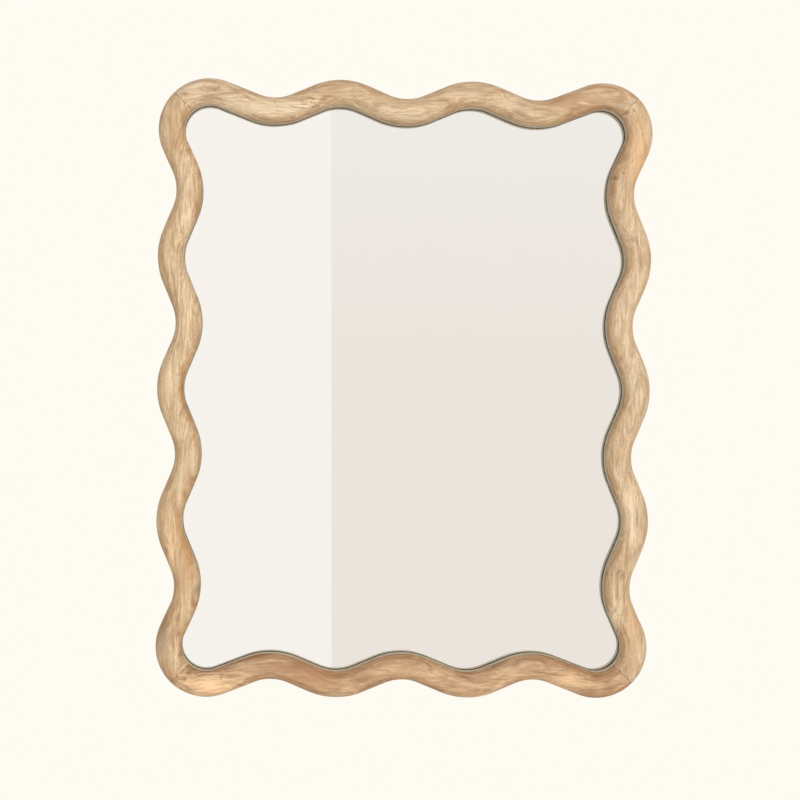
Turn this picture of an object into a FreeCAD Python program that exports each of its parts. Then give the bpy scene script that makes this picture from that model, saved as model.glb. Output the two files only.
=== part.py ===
import FreeCAD, Part
import math
import os

# Wall mirror in a wavy half-round wooden frame, in millimetres.
# Seen from the front, X runs to the right and Z up. The flat back of the frame lies on Y = 0,
# the front faces -Y, and the origin is the middle of the back.

# Outline of the frame; the waves are measured on its centreline
FRAME_WIDTH = 610.0
FRAME_HEIGHT = 762.0
CORNER_RADIUS = 46.5
WAVE_HEIGHT = 22.3
WAVE_PITCH = 162.7
WAVE_RADIUS = 70.0
RAIL_VALLEYS = 3
STILE_VALLEYS = 4

# Section of the moulding: flat back and sides, and an arched face of narrow flats between two arrises
MOULDING_WIDTH = 32.5
MOULDING_DEPTH = 28.0
FACE_RISE = 11.0
FACE_FLATS = 9

# Straight-sided rabbet behind the wavy lip, and the sheets that lie in it
RABBET_INSET = 28.5
SHEET_PLAY = 1.0
BOARD_RECESS = 1.0
BOARD_THICKNESS = 3.0
FOAM_THICKNESS = 1.0
GLASS_THICKNESS = 4.0

# Flat steel points, pushed into the rabbet's wall over the board
POINT_WIDTH = 6.0
POINT_THICKNESS = 0.4
POINT_IN_WOOD = 7.0
POINT_ON_BOARD = 8.0

# Flat spline across each mitre
SPLINE_THICKNESS = 4.0
SPLINE_LENGTH = 24.0
SPLINE_OUTER = -11.0
SPLINE_INNER = 8.0
SPLINE_DEPTH = 15.0

# Strap hangers: a folded steel strap, a D ring of round wire and two pan-head screws
STRAP_THICKNESS = 0.9
STRAP_WIDTH = 10.0
STRAP_LENGTH = 28.0
STRAP_CORNER = 2.5
STRAP_LAYER_GAP = 0.1
STRAP_NECK_TURN = 40.0
STRAP_NECK_RADIUS = 1.5
STRAP_HOLE = 3.9
STRAP_HOLE_PLACES = (-9.5, -22.0)
RING_WIRE = 2.6
RING_WIRE_FLATS = 8
RING_PLAY = 0.05
RING_HALF_WIDTH = 7.7
RING_CORNER_RADIUS = 2.5
RING_LEG_TOP = 7.5
SCREW_HEAD = 6.5
SCREW_HEAD_HEIGHT = 2.2
SCREW_SHANK = 3.5
SCREW_LENGTH = 13.0
SCREW_FLATS = 12
HANGER_INSET = 14.5
HANGER_ABOVE_CREST = 4.0

# Soft bumpers that keep the bottom edge off the wall
BUMPER_DIAMETER = 11.0
BUMPER_HEIGHT = 5.0
BUMPER_TURN = 25.0
BUMPER_OFFSET = -6.0

# Sizes that follow from those above
HALF_MOULDING = MOULDING_WIDTH / 2
LINE_WIDTH = FRAME_WIDTH - MOULDING_WIDTH
LINE_HEIGHT = FRAME_HEIGHT - MOULDING_WIDTH
FACE_RADIUS = (HALF_MOULDING ** 2 + FACE_RISE ** 2) / (2 * FACE_RISE)
FACE_CENTRE = FACE_RADIUS - MOULDING_DEPTH
FACE_SPREAD = math.asin(HALF_MOULDING / FACE_RADIUS)
BOARD_BACK = -BOARD_RECESS
FOAM_BACK = BOARD_BACK - BOARD_THICKNESS
GLASS_BACK = FOAM_BACK - FOAM_THICKNESS
RABBET_DEPTH = GLASS_THICKNESS - GLASS_BACK
LOOP_RADIUS = RING_WIRE / 2 + RING_PLAY + STRAP_THICKNESS / 2
LOOP_HEIGHT = STRAP_THICKNESS / 2 + LOOP_RADIUS
STRAP_HEIGHT = LOOP_HEIGHT + LOOP_RADIUS + STRAP_THICKNESS / 2

BACKWARD = FreeCAD.Vector(0, 1, 0)


# ---- Paths in a plane. A path is a list of moves: (length, 0) runs straight, and (radius, turn) is an
# arc that turns to the right by turn degrees, or to the left where turn is negative. ----

def beside(point, heading, offset):
    """Point that lies offset to the right of a heading, which is in degrees from the first axis."""
    angle = math.radians(heading)
    return (point[0] + offset * math.sin(angle), point[1] - offset * math.cos(angle))


def ahead(point, heading, length):
    angle = math.radians(heading)
    return (point[0] + length * math.cos(angle), point[1] + length * math.sin(angle))


def after(point, heading, move, share=1.0):
    """Point and heading after a share of one move."""
    size, turn = move
    if turn == 0:
        return ahead(point, heading, size * share), heading
    radius = math.copysign(size, turn)
    centre = beside(point, heading, radius)
    new_heading = heading - turn * share
    return beside(centre, new_heading, -radius), new_heading


def carried(section, start, heading, moves):
    """A section, drawn to the right of the path and backwards, carried along moves in the XZ plane."""
    point = start
    pieces = []
    for move in moves:
        face = section.copy()
        place = FreeCAD.Vector(point[0], 0, point[1])
        face.Placement = FreeCAD.Placement(place, FreeCAD.Rotation(BACKWARD, 90 - heading))
        size, turn = move
        if turn == 0:
            onward = ahead((0, 0), heading, size)
            pieces.append(face.extrude(FreeCAD.Vector(onward[0], 0, onward[1])))
        else:
            centre = beside(point, heading, math.copysign(size, turn))
            pieces.append(face.revolve(FreeCAD.Vector(centre[0], 0, centre[1]), BACKWARD, turn))
        point, heading = after(point, heading, move)
    return pieces[0].multiFuse(pieces[1:]).removeSplitter()


# ---- Centreline of the frame, walked clockwise from the top left mitre ----

def crest_to_valley(apart, first_radius, second_radius):
    """Turn from a crest to the straight run, and the run's length, where the next arc is a valley."""
    across = first_radius + second_radius - WAVE_HEIGHT
    radii = first_radius + second_radius
    reach = math.hypot(apart, across)
    turn = math.atan2(apart, across) - math.acos(radii / reach)
    return math.degrees(turn), math.sqrt(reach ** 2 - radii ** 2)


def side_moves(line_length, valleys):
    """One side from mitre to mitre: half a corner, the waves between, and half the next corner."""
    turn, run = crest_to_valley(WAVE_PITCH / 2, WAVE_RADIUS, WAVE_RADIUS)
    corner_to_valley = (line_length - 2 * CORNER_RADIUS - (valleys - 1) * WAVE_PITCH) / 2
    end_turn, end_run = crest_to_valley(corner_to_valley, CORNER_RADIUS, WAVE_RADIUS)
    crest = [(run, 0), (WAVE_RADIUS, 2 * turn), (run, 0)]
    half_corner = (CORNER_RADIUS, 45 + end_turn)
    end_valley = (WAVE_RADIUS, -end_turn - turn)
    middle = ([(WAVE_RADIUS, -2 * turn)] + crest) * (valleys - 2)
    return [half_corner, (end_run, 0), end_valley] + crest + middle + [end_valley, (end_run, 0), half_corner]


def mitre(right, up):
    """Centreline point in the middle of a corner's arc."""
    back = CORNER_RADIUS * (1 - math.sqrt(0.5))
    return (right * (LINE_WIDTH / 2 - back), up * (LINE_HEIGHT / 2 - back))


RAIL_MOVES = side_moves(LINE_WIDTH, RAIL_VALLEYS)
STILE_MOVES = side_moves(LINE_HEIGHT, STILE_VALLEYS)
MITRES = {
    "top_left": (mitre(-1, 1), 45),
    "top_right": (mitre(1, 1), -45),
    "bottom_right": (mitre(1, -1), -135),
    "bottom_left": (mitre(-1, -1), -225),
}
SIDES = {
    "top_rail": ("top_left", RAIL_MOVES),
    "right_stile": ("top_right", STILE_MOVES),
    "bottom_rail": ("bottom_right", RAIL_MOVES),
    "left_stile": ("bottom_left", STILE_MOVES),
}


# ---- Wooden moulding ----

def moulding_section():
    """Flat back and sides, and an arched face laid out in equal turns from arris to arris."""
    points = [FreeCAD.Vector(-HALF_MOULDING, 0, 0)]
    for place in range(FACE_FLATS + 1):
        angle = FACE_SPREAD * (2 * place / FACE_FLATS - 1)
        across = FACE_RADIUS * math.sin(angle)
        points.append(FreeCAD.Vector(across, FACE_CENTRE - FACE_RADIUS * math.cos(angle), 0))
    points.append(FreeCAD.Vector(HALF_MOULDING, 0, 0))
    return Part.Face(Part.makePolygon(points + points[:1]))


def centred_sheet(inset, back, thickness):
    """Rectangular sheet on the frame's middle, set in from its outer size on every side."""
    width = FRAME_WIDTH - 2 * inset
    height = FRAME_HEIGHT - 2 * inset
    corner = FreeCAD.Vector(-width / 2, back - thickness, -height / 2)
    return Part.makeBox(width, thickness, height, corner)


def rabbet_sheet(back, thickness):
    return centred_sheet(RABBET_INSET + SHEET_PLAY, back, thickness)


def mitre_spline(corner, length):
    """Flat key across a mitre, square to it."""
    start, heading = MITRES[corner]
    key = Part.makeBox(SPLINE_INNER - SPLINE_OUTER, SPLINE_THICKNESS, length)
    key.translate(FreeCAD.Vector(SPLINE_OUTER, -SPLINE_DEPTH - SPLINE_THICKNESS / 2, -length / 2))
    place = FreeCAD.Vector(start[0], 0, start[1])
    stand = FreeCAD.Placement(place, FreeCAD.Rotation(BACKWARD, 90 - heading))
    key.Placement = stand.multiply(key.Placement)
    return key


# ---- Points over the back board ----

def spread(count):
    """Places one wave apart along a side, spaced about its middle."""
    return [(place - (count - 1) / 2) * WAVE_PITCH for place in range(count)]


def board_points():
    """A flat point at every crest, where the wood outside the rabbet is widest."""
    wall_x = FRAME_WIDTH / 2 - RABBET_INSET
    wall_z = FRAME_HEIGHT / 2 - RABBET_INSET
    corner_x = LINE_WIDTH / 2 - CORNER_RADIUS
    corner_z = LINE_HEIGHT / 2 - CORNER_RADIUS
    along_rail = spread(RAIL_VALLEYS - 1) + [-corner_x, corner_x]
    along_stile = spread(STILE_VALLEYS - 1) + [-corner_z, corner_z]
    length = POINT_IN_WOOD + POINT_ON_BOARD
    offset = (POINT_IN_WOOD - POINT_ON_BOARD) / 2
    points = []
    for side in (-1, 1):
        for x in along_rail:
            points.append(flat_plate(x, side * (wall_z + offset), POINT_WIDTH, length))
        for z in along_stile:
            points.append(flat_plate(side * (wall_x + offset), z, length, POINT_WIDTH))
    return points


def flat_plate(x, z, width, height):
    corner = FreeCAD.Vector(x - width / 2, BOARD_BACK, z - height / 2)
    return Part.makeBox(width, POINT_THICKNESS, height, corner)


# ---- Strap hangers, made with the wood at Y = 0 and the ring's axis above the origin ----

def flat_sided_bar(diameter, flats, front, back):
    """Short bar along Y, as round as its number of flats allows."""
    radius = diameter / 2
    corners = []
    for place in range(flats + 1):
        angle = 2 * math.pi * place / flats
        corners.append(FreeCAD.Vector(radius * math.cos(angle), front, radius * math.sin(angle)))
    return Part.Face(Part.makePolygon(corners)).extrude(BACKWARD * (back - front))


def hanger_screw():
    """Pan-head screw with the underside of its head at Y = 0."""
    head = flat_sided_bar(SCREW_HEAD, SCREW_FLATS, 0, SCREW_HEAD_HEIGHT)
    return head.fuse(flat_sided_bar(SCREW_SHANK, SCREW_FLATS, -SCREW_LENGTH, 0))


def strap_moves():
    """Centre of the folded sheet, from its lower end up, round the ring's bar and down again."""
    turn = math.radians(STRAP_NECK_TURN)
    layer_rise = STRAP_THICKNESS + STRAP_LAYER_GAP
    drop = LOOP_RADIUS * (1 + math.cos(turn)) - layer_rise
    neck = (drop - STRAP_NECK_RADIUS * (1 - math.cos(turn))) / math.sin(turn)
    used = (LOOP_RADIUS + STRAP_NECK_RADIUS) * math.sin(turn) + neck * math.cos(turn)
    return [
        (STRAP_LENGTH, 0),
        (LOOP_RADIUS, -180 - STRAP_NECK_TURN),
        (neck, 0),
        (STRAP_NECK_RADIUS, STRAP_NECK_TURN),
        (STRAP_LENGTH - used, 0),
    ]


def sheet_side(offset):
    """Edges of one side of the folded sheet, with the path's first axis up and its second backwards."""
    point = (-STRAP_LENGTH, STRAP_THICKNESS / 2)
    heading = 0
    edges = []
    for move in strap_moves():
        stations = [after(point, heading, move, share) for share in (0, 0.5, 1)]
        ends = [beside(*station, offset) for station in stations]
        corners = [FreeCAD.Vector(-STRAP_WIDTH / 2, back, up) for up, back in ends]
        if move[1] == 0:
            edges.append(Part.makeLine(corners[0], corners[2]))
        else:
            edges.append(Part.Arc(*corners).toShape())
        point, heading = stations[2]
    return edges


def hanger_strap():
    sides = [sheet_side(-STRAP_THICKNESS / 2), sheet_side(STRAP_THICKNESS / 2)]
    first_end = [side[0].firstVertex().Point for side in sides]
    last_end = [side[-1].lastVertex().Point for side in sides]
    caps = [Part.makeLine(*first_end), Part.makeLine(*last_end)]
    outline = Part.Wire(Part.__sortEdges__(sides[0] + sides[1] + caps))
    strap = Part.Face(outline).extrude(FreeCAD.Vector(STRAP_WIDTH, 0, 0))
    half = STRAP_WIDTH / 2
    blank = Part.makePolygon([
        FreeCAD.Vector(-half, 0, LOOP_HEIGHT),
        FreeCAD.Vector(-half, 0, STRAP_CORNER - STRAP_LENGTH),
        FreeCAD.Vector(STRAP_CORNER - half, 0, -STRAP_LENGTH),
        FreeCAD.Vector(half - STRAP_CORNER, 0, -STRAP_LENGTH),
        FreeCAD.Vector(half, 0, STRAP_CORNER - STRAP_LENGTH),
        FreeCAD.Vector(half, 0, LOOP_HEIGHT),
        FreeCAD.Vector(-half, 0, LOOP_HEIGHT),
    ])
    strap = strap.common(Part.Face(blank).extrude(BACKWARD * STRAP_HEIGHT))
    for z in STRAP_HOLE_PLACES:
        hole = flat_sided_bar(STRAP_HOLE, SCREW_FLATS, 0, STRAP_HEIGHT)
        hole.translate(FreeCAD.Vector(0, 0, z))
        strap = strap.cut(hole)
    return strap


def hanger_ring():
    """D ring: a straight bar in the strap's loop, two short legs and a half circle above."""
    half_bar = (RING_HALF_WIDTH - RING_CORNER_RADIUS, 0)
    leg = (RING_LEG_TOP - RING_CORNER_RADIUS, 0)
    bend = (RING_CORNER_RADIUS, 90)
    moves = [half_bar, bend, leg, (RING_HALF_WIDTH, 180), leg, bend, half_bar]
    radius = RING_WIRE / 2
    corners = []
    for place in range(RING_WIRE_FLATS + 1):
        angle = math.pi * (2 * place + 1) / RING_WIRE_FLATS
        corners.append(FreeCAD.Vector(radius * math.cos(angle), LOOP_HEIGHT + radius * math.sin(angle), 0))
    return carried(Part.Face(Part.makePolygon(corners)), (0, 0), 180, moves)


def hanger_place(side):
    """Foot of the ring's axis, on the first crest below the top of a stile."""
    return FreeCAD.Vector(side * (FRAME_WIDTH / 2 - HANGER_INSET), 0, WAVE_PITCH + HANGER_ABOVE_CREST)


def hanger_screws(side):
    seat = 2 * STRAP_THICKNESS + STRAP_LAYER_GAP
    screws = []
    for z in STRAP_HOLE_PLACES:
        screw = hanger_screw()
        screw.translate(hanger_place(side) + FreeCAD.Vector(0, seat, z))
        screws.append(screw)
    return screws


# ---- Bumpers on the lower corners ----

def wall_bumper(corner, onward):
    """Bumper on the back of the bottom rail, some way round the corner from the mitre."""
    start, heading = MITRES[corner]
    x, z = beside(*after(start, heading, (CORNER_RADIUS, BUMPER_TURN), onward), BUMPER_OFFSET)
    return Part.makeCylinder(BUMPER_DIAMETER / 2, BUMPER_HEIGHT, FreeCAD.Vector(x, 0, z), BACKWARD)


# ---- The whole mirror ----

def build():
    pieces = {}
    screws = {"left": hanger_screws(-1), "right": hanger_screws(1)}
    rabbet = centred_sheet(RABBET_INSET, 0, RABBET_DEPTH)
    slots = [mitre_spline(corner, SPLINE_LENGTH) for corner in MITRES]
    hollows = [rabbet] + slots + board_points() + screws["left"] + screws["right"]
    for name, (corner, moves) in SIDES.items():
        pieces[name] = carried(moulding_section(), *MITRES[corner], moves).cut(hollows)
    for corner in MITRES:
        pieces[corner + "_spline"] = mitre_spline(corner, SPLINE_LENGTH)
    pieces["mirror_glass"] = rabbet_sheet(GLASS_BACK, GLASS_THICKNESS)
    pieces["foam_sheet"] = rabbet_sheet(FOAM_BACK, FOAM_THICKNESS)
    pieces["back_board"] = rabbet_sheet(BOARD_BACK, BOARD_THICKNESS)
    pieces["board_points"] = Part.makeCompound(board_points())
    for name, side in (("left", -1), ("right", 1)):
        strap = hanger_strap()
        ring = hanger_ring()
        strap.translate(hanger_place(side))
        ring.translate(hanger_place(side))
        pieces[name + "_hanger_strap"] = strap
        pieces[name + "_hanger_ring"] = ring
        pieces[name + "_hanger_screws"] = Part.makeCompound(screws[name])
    pieces["left_wall_bumper"] = wall_bumper("bottom_left", -1)
    pieces["right_wall_bumper"] = wall_bumper("bottom_right", 1)
    return pieces


os.makedirs("parts", exist_ok=True)
for node, shape in build().items():
    shape.exportStep("parts/" + node + ".step")
    print(node, "solids", len(shape.Solids), "valid", shape.isValid())
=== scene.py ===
from math import acos, asin, atan2, ceil, copysign, cos, degrees, hypot, pi, radians, sin, sqrt

import bmesh
import bpy
from mathutils import Matrix, Vector, noise


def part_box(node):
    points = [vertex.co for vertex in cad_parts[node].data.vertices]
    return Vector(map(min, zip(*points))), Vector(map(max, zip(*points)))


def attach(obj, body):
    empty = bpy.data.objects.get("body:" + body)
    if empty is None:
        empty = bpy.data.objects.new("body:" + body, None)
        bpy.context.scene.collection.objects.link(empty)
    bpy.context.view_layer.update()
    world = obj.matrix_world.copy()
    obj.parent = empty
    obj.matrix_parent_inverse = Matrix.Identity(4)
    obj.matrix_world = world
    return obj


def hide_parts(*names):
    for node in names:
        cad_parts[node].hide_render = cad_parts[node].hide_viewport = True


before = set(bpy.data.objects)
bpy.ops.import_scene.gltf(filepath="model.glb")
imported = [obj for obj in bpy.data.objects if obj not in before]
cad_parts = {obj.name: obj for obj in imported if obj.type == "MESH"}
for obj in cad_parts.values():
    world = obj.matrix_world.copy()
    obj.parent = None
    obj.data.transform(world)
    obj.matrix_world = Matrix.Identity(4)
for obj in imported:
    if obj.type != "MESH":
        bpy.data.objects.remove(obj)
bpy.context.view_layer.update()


# ---- The four sides of the frame ----------------------------------------------------------------
# Each of the four is one length of solid mango wood, sawn to the wave, rounded over on a spindle
# moulder, sanded by hand and oiled. The ends are mitred and glued over a hidden spline, and a straight
# rabbet is ploughed into the back for the glass.

FRAME_WIDTH = 0.610
FRAME_HEIGHT = 0.762
CORNER_RADIUS = 0.0465
WAVE_HEIGHT = 0.0223
WAVE_PITCH = 0.1627
WAVE_RADIUS = 0.0700
RAIL_VALLEYS, STILE_VALLEYS = 3, 4
HALF_MOULDING = 0.01625
HALF_SANDED = 0.0162
FACE_START = -0.0169
FACE_RISE = 0.01088
FACE_STEPS = 36
BACK_ARRIS = 0.0010
FRONT_ARRIS = 0.0004
RABBET_INSET = 0.0285
RABBET_DEPTH = 0.009
WOOD_STEP = 0.0025
SANDED_AWAY, SANDED_FROM, SANDED_FADE = 0.0004, 0.004, 0.008
SANDED_LUMPS = ((22, 0.6, (0, 0, 0)), (55, 0.4, (3, 5, 7)))
LIP_UPRIGHT, LIP_FACING = 0.1, 0.5
LINE_WIDTH = FRAME_WIDTH - 2 * HALF_MOULDING
LINE_HEIGHT = FRAME_HEIGHT - 2 * HALF_MOULDING


def beside(point, heading, offset):
    """Point that lies offset to the right of a heading, in degrees from the first axis."""
    angle = radians(heading)
    return (point[0] + offset * sin(angle), point[1] - offset * cos(angle))


def after(point, heading, move):
    """Point and heading after a move: (length, 0) is a run, (radius, turn) an arc to the right."""
    size, turn = move
    if turn == 0:
        angle = radians(heading)
        return (point[0] + size * cos(angle), point[1] + size * sin(angle)), heading
    radius = copysign(size, turn)
    centre = beside(point, heading, radius)
    return beside(centre, heading - turn, -radius), heading - turn


def carry(made, ring, start, moves, step, run_step, plane):
    """Carries a ring of edges along moves in a plane, given by its two axes, and returns the last ring."""
    first, second = (Vector(axis) for axis in plane)
    point, heading = start
    for size, turn in moves:
        onward, new_heading = after(point, heading, (size, turn))
        if turn == 0:
            steps = ceil(size / run_step)
            along = first * (onward[0] - point[0]) + second * (onward[1] - point[1])
            swept = bmesh.ops.spin(made, geom=ring, cent=(0, 0, 0), axis=second.cross(first),
                                   dvec=along / steps, angle=0, steps=steps)
        else:
            centre = beside(point, heading, copysign(size, turn))
            steps = ceil(size * radians(abs(turn)) / step)
            swept = bmesh.ops.spin(made, geom=ring, cent=first * centre[0] + second * centre[1],
                                   axis=second.cross(first), angle=radians(turn), steps=steps)
        ring = [e for e in swept["geom_last"] if isinstance(e, bmesh.types.BMEdge)]
        point, heading = onward, new_heading
    return ring


def crest_to_valley(apart, first_radius, second_radius):
    """Turn from a crest to the straight run, and the run's length, where the next arc is a valley."""
    across = first_radius + second_radius - WAVE_HEIGHT
    radii = first_radius + second_radius
    reach = hypot(apart, across)
    turn = atan2(apart, across) - acos(radii / reach)
    return degrees(turn), sqrt(reach ** 2 - radii ** 2)


def side_moves(line_length, valleys):
    """One side from mitre to mitre: half a corner, the waves between, and half the next corner."""
    turn, run = crest_to_valley(WAVE_PITCH / 2, WAVE_RADIUS, WAVE_RADIUS)
    corner_to_valley = (line_length - 2 * CORNER_RADIUS - (valleys - 1) * WAVE_PITCH) / 2
    end_turn, end_run = crest_to_valley(corner_to_valley, CORNER_RADIUS, WAVE_RADIUS)
    crest = [(run, 0), (WAVE_RADIUS, 2 * turn), (run, 0)]
    half_corner = (CORNER_RADIUS, 45 + end_turn)
    end_valley = (WAVE_RADIUS, -end_turn - turn)
    middle = ([(WAVE_RADIUS, -2 * turn)] + crest) * (valleys - 2)
    return [half_corner, (end_run, 0), end_valley] + crest + middle + [end_valley, (end_run, 0), half_corner]


def mitre(right, up):
    """Centreline point in the middle of a corner's arc."""
    back = CORNER_RADIUS * (1 - sqrt(0.5))
    return (right * (LINE_WIDTH / 2 - back), up * (LINE_HEIGHT / 2 - back))


def as_object(name, made):
    """Puts a bmesh in the scene as an object of its own at the origin."""
    mesh = bpy.data.meshes.new(name)
    made.to_mesh(mesh)
    made.free()
    piece = bpy.data.objects.new(name, mesh)
    bpy.context.scene.collection.objects.link(piece)
    return piece


def add_to(whole, made):
    """Moves the contents of one bmesh into another."""
    mesh = bpy.data.meshes.new("passing")
    made.to_mesh(mesh)
    made.free()
    whole.from_mesh(mesh)
    bpy.data.meshes.remove(mesh)


def cut_away(piece, cutter):
    """Cuts one object's shape out of another's mesh, and throws the cutter away."""
    knife = piece.modifiers.new("cut", "BOOLEAN")
    knife.operation = "DIFFERENCE"
    knife.solver = "EXACT"
    knife.object = cutter
    whole = piece.data
    depsgraph = bpy.context.evaluated_depsgraph_get()
    piece.data = bpy.data.meshes.new_from_object(piece.evaluated_get(depsgraph))
    piece.modifiers.clear()
    bpy.data.objects.remove(cutter)
    bpy.data.meshes.remove(whole)


def fit(piece, material, body, slot, *nodes, smooth_below=35):
    """Finishes a piece: its material, smooth faces with sharp arrises, its body and nodes. The slot is not
    used.
    """
    for part in (material if isinstance(material, list) else [material]):
        piece.data.materials.append(part)
    piece.data.shade_smooth()
    piece.data.set_sharp_from_angle(angle=radians(smooth_below))
    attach(piece, body)
    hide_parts(*nodes)


def moulding_ring(made):
    """Flat back and sides with an arched face, drawn in the XY plane, as a closed ring of edges."""
    radius = (HALF_SANDED ** 2 + FACE_RISE ** 2) / (2 * FACE_RISE)
    spread = 2 * asin(HALF_SANDED / radius)
    first = made.verts.new((-HALF_SANDED, FACE_START, 0))
    arch = bmesh.ops.spin(made, geom=[first], cent=(0, FACE_START - FACE_RISE + radius, 0), axis=(0, 0, 1),
                          angle=spread, steps=FACE_STEPS)
    last = [v for v in arch["geom_last"] if isinstance(v, bmesh.types.BMVert)][0]
    left = made.verts.new((-HALF_SANDED, 0, 0))
    right = made.verts.new((HALF_SANDED, 0, 0))
    for ends in ((first, left), (left, right), (right, last)):
        made.edges.new(ends)
    bmesh.ops.edgeloop_fill(made, edges=made.edges)
    for corners, size in (((left, right), BACK_ARRIS), ((first, last), FRONT_ARRIS)):
        bmesh.ops.bevel(made, geom=list(corners), offset=size, offset_type="OFFSET", segments=3,
                        profile=0.5, affect="VERTICES", material=-1)
    bmesh.ops.delete(made, geom=made.faces[:], context="FACES_ONLY")
    return list(made.edges)


def frame_side(name, start, heading, moves):
    """The moulding's section carried from mitre to mitre, with a front that sanding left a little uneven."""
    made = bmesh.new()
    ring = moulding_ring(made)
    stand = Matrix.Translation((start[0], 0, start[1])) @ Matrix.Rotation(radians(90 - heading), 4, "Y")
    bmesh.ops.transform(made, matrix=stand, verts=made.verts)
    last = carry(made, ring, (start, heading), moves, WOOD_STEP, WOOD_STEP, ((1, 0, 0), (0, 0, 1)))
    bmesh.ops.recalc_face_normals(made, faces=made.faces)
    made.normal_update()
    for vertex in made.verts:
        front = min(max((-vertex.co.y - SANDED_FROM) / SANDED_FADE, 0), 1)
        lump = sum(noise.noise(vertex.co * scale + Vector(shift)) * share
                   for scale, share, shift in SANDED_LUMPS)
        vertex.co -= vertex.normal * SANDED_AWAY * front * max(0.5 + lump, 0)
    for loop in (ring, last):
        bmesh.ops.edgeloop_fill(made, edges=loop)
    bmesh.ops.recalc_face_normals(made, faces=made.faces)
    return as_object(name, made)


def rabbet_cutter():
    """Block as large as the rabbet, standing a little out of the back."""
    extent = (FRAME_WIDTH - 2 * RABBET_INSET, 2 * RABBET_DEPTH, FRAME_HEIGHT - 2 * RABBET_INSET)
    made = bmesh.new()
    bmesh.ops.create_cube(made, size=1)
    bmesh.ops.scale(made, vec=extent, verts=made.verts)
    return as_object("rabbet_cutter", made)


def linear(code):
    """A colour given as an sRGB hex code, as Blender's linear red, green, blue and alpha."""
    parts = [int(code[place:place + 2], 16) / 255 for place in (0, 2, 4)]
    return tuple(p / 12.92 if p <= 0.04045 else ((p + 0.055) / 1.055) ** 2.4 for p in parts) + (1,)


def add_node(tree, kind, inputs=None, **settings):
    """Adds one shader node, sets what is on it, and fills or links its inputs by name or number."""
    made = tree.nodes.new(kind)
    for name, value in settings.items():
        setattr(made, name, value)
    for name, value in (inputs or {}).items():
        if isinstance(value, bpy.types.NodeSocket):
            tree.links.new(value, made.inputs[name])
        else:
            made.inputs[name].default_value = value
    return made


def new_material(name):
    """An empty node material, with its tree and its surface shader."""
    material = bpy.data.materials.new(name)
    material.use_nodes = True
    return material, material.node_tree, material.node_tree.nodes["Principled BSDF"]


# Flat-sawn mango wood, sanded and oiled: pale honey, with brown streaks where the growth layers run
# out, fine dark pores, soft clouds of warmer and greyer wood, painted shade on the flanks, painted highlight
# on the crown.
WANDER_SCALE, WANDER_REACH = (7, 18, 18), (0, 0.024, 0.016)
RING_WIDTH = 0.0046
LATE_START, LATE_END = 0.1, 1.0
LAYER_LENGTH, LAYER_ROUND, LAYER_THICKNESS = 0.080, 0.0080, 0.0022
FIBRE_LENGTH, FIBRE_WIDTH = 0.026, 0.0020
PORE_LENGTH, PORE_WIDTH = 0.0045, 0.0005
CLOUD_LENGTH, CLOUD_WIDTH = 0.120, 0.024
# depths of the painted highlight on the crown and of the painted shade on the flanks, and the shade's
# strength
HIGHLIGHT_TO_SHADE_DEPTH, PAINTED_SHADE_END, PAINTED_SHADE_SHARE = -0.0262, -0.0180, 0.75
PAINTED_HIGHLIGHT_END = -0.0245
GLUE_LINE = 0.0004
PORE_COLOUR, GLUE_COLOUR = "6f4c2e", "6a4020"
LOOP_LINE, LOOP_WOBBLE = 0.0014, 0.0016
FRAYED_BY, FRAYED_FROM, FRAYED_TO = 0.7, 0.45, 1.25
SATIN_LOW, SATIN_HIGH = 0.42, 0.56
RELIEF_STRENGTH, RELIEF_DEPTH = 0.35, 0.0001
MITRE_SHIFT = mitre(1, 1)[1] - mitre(1, 1)[0]


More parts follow.
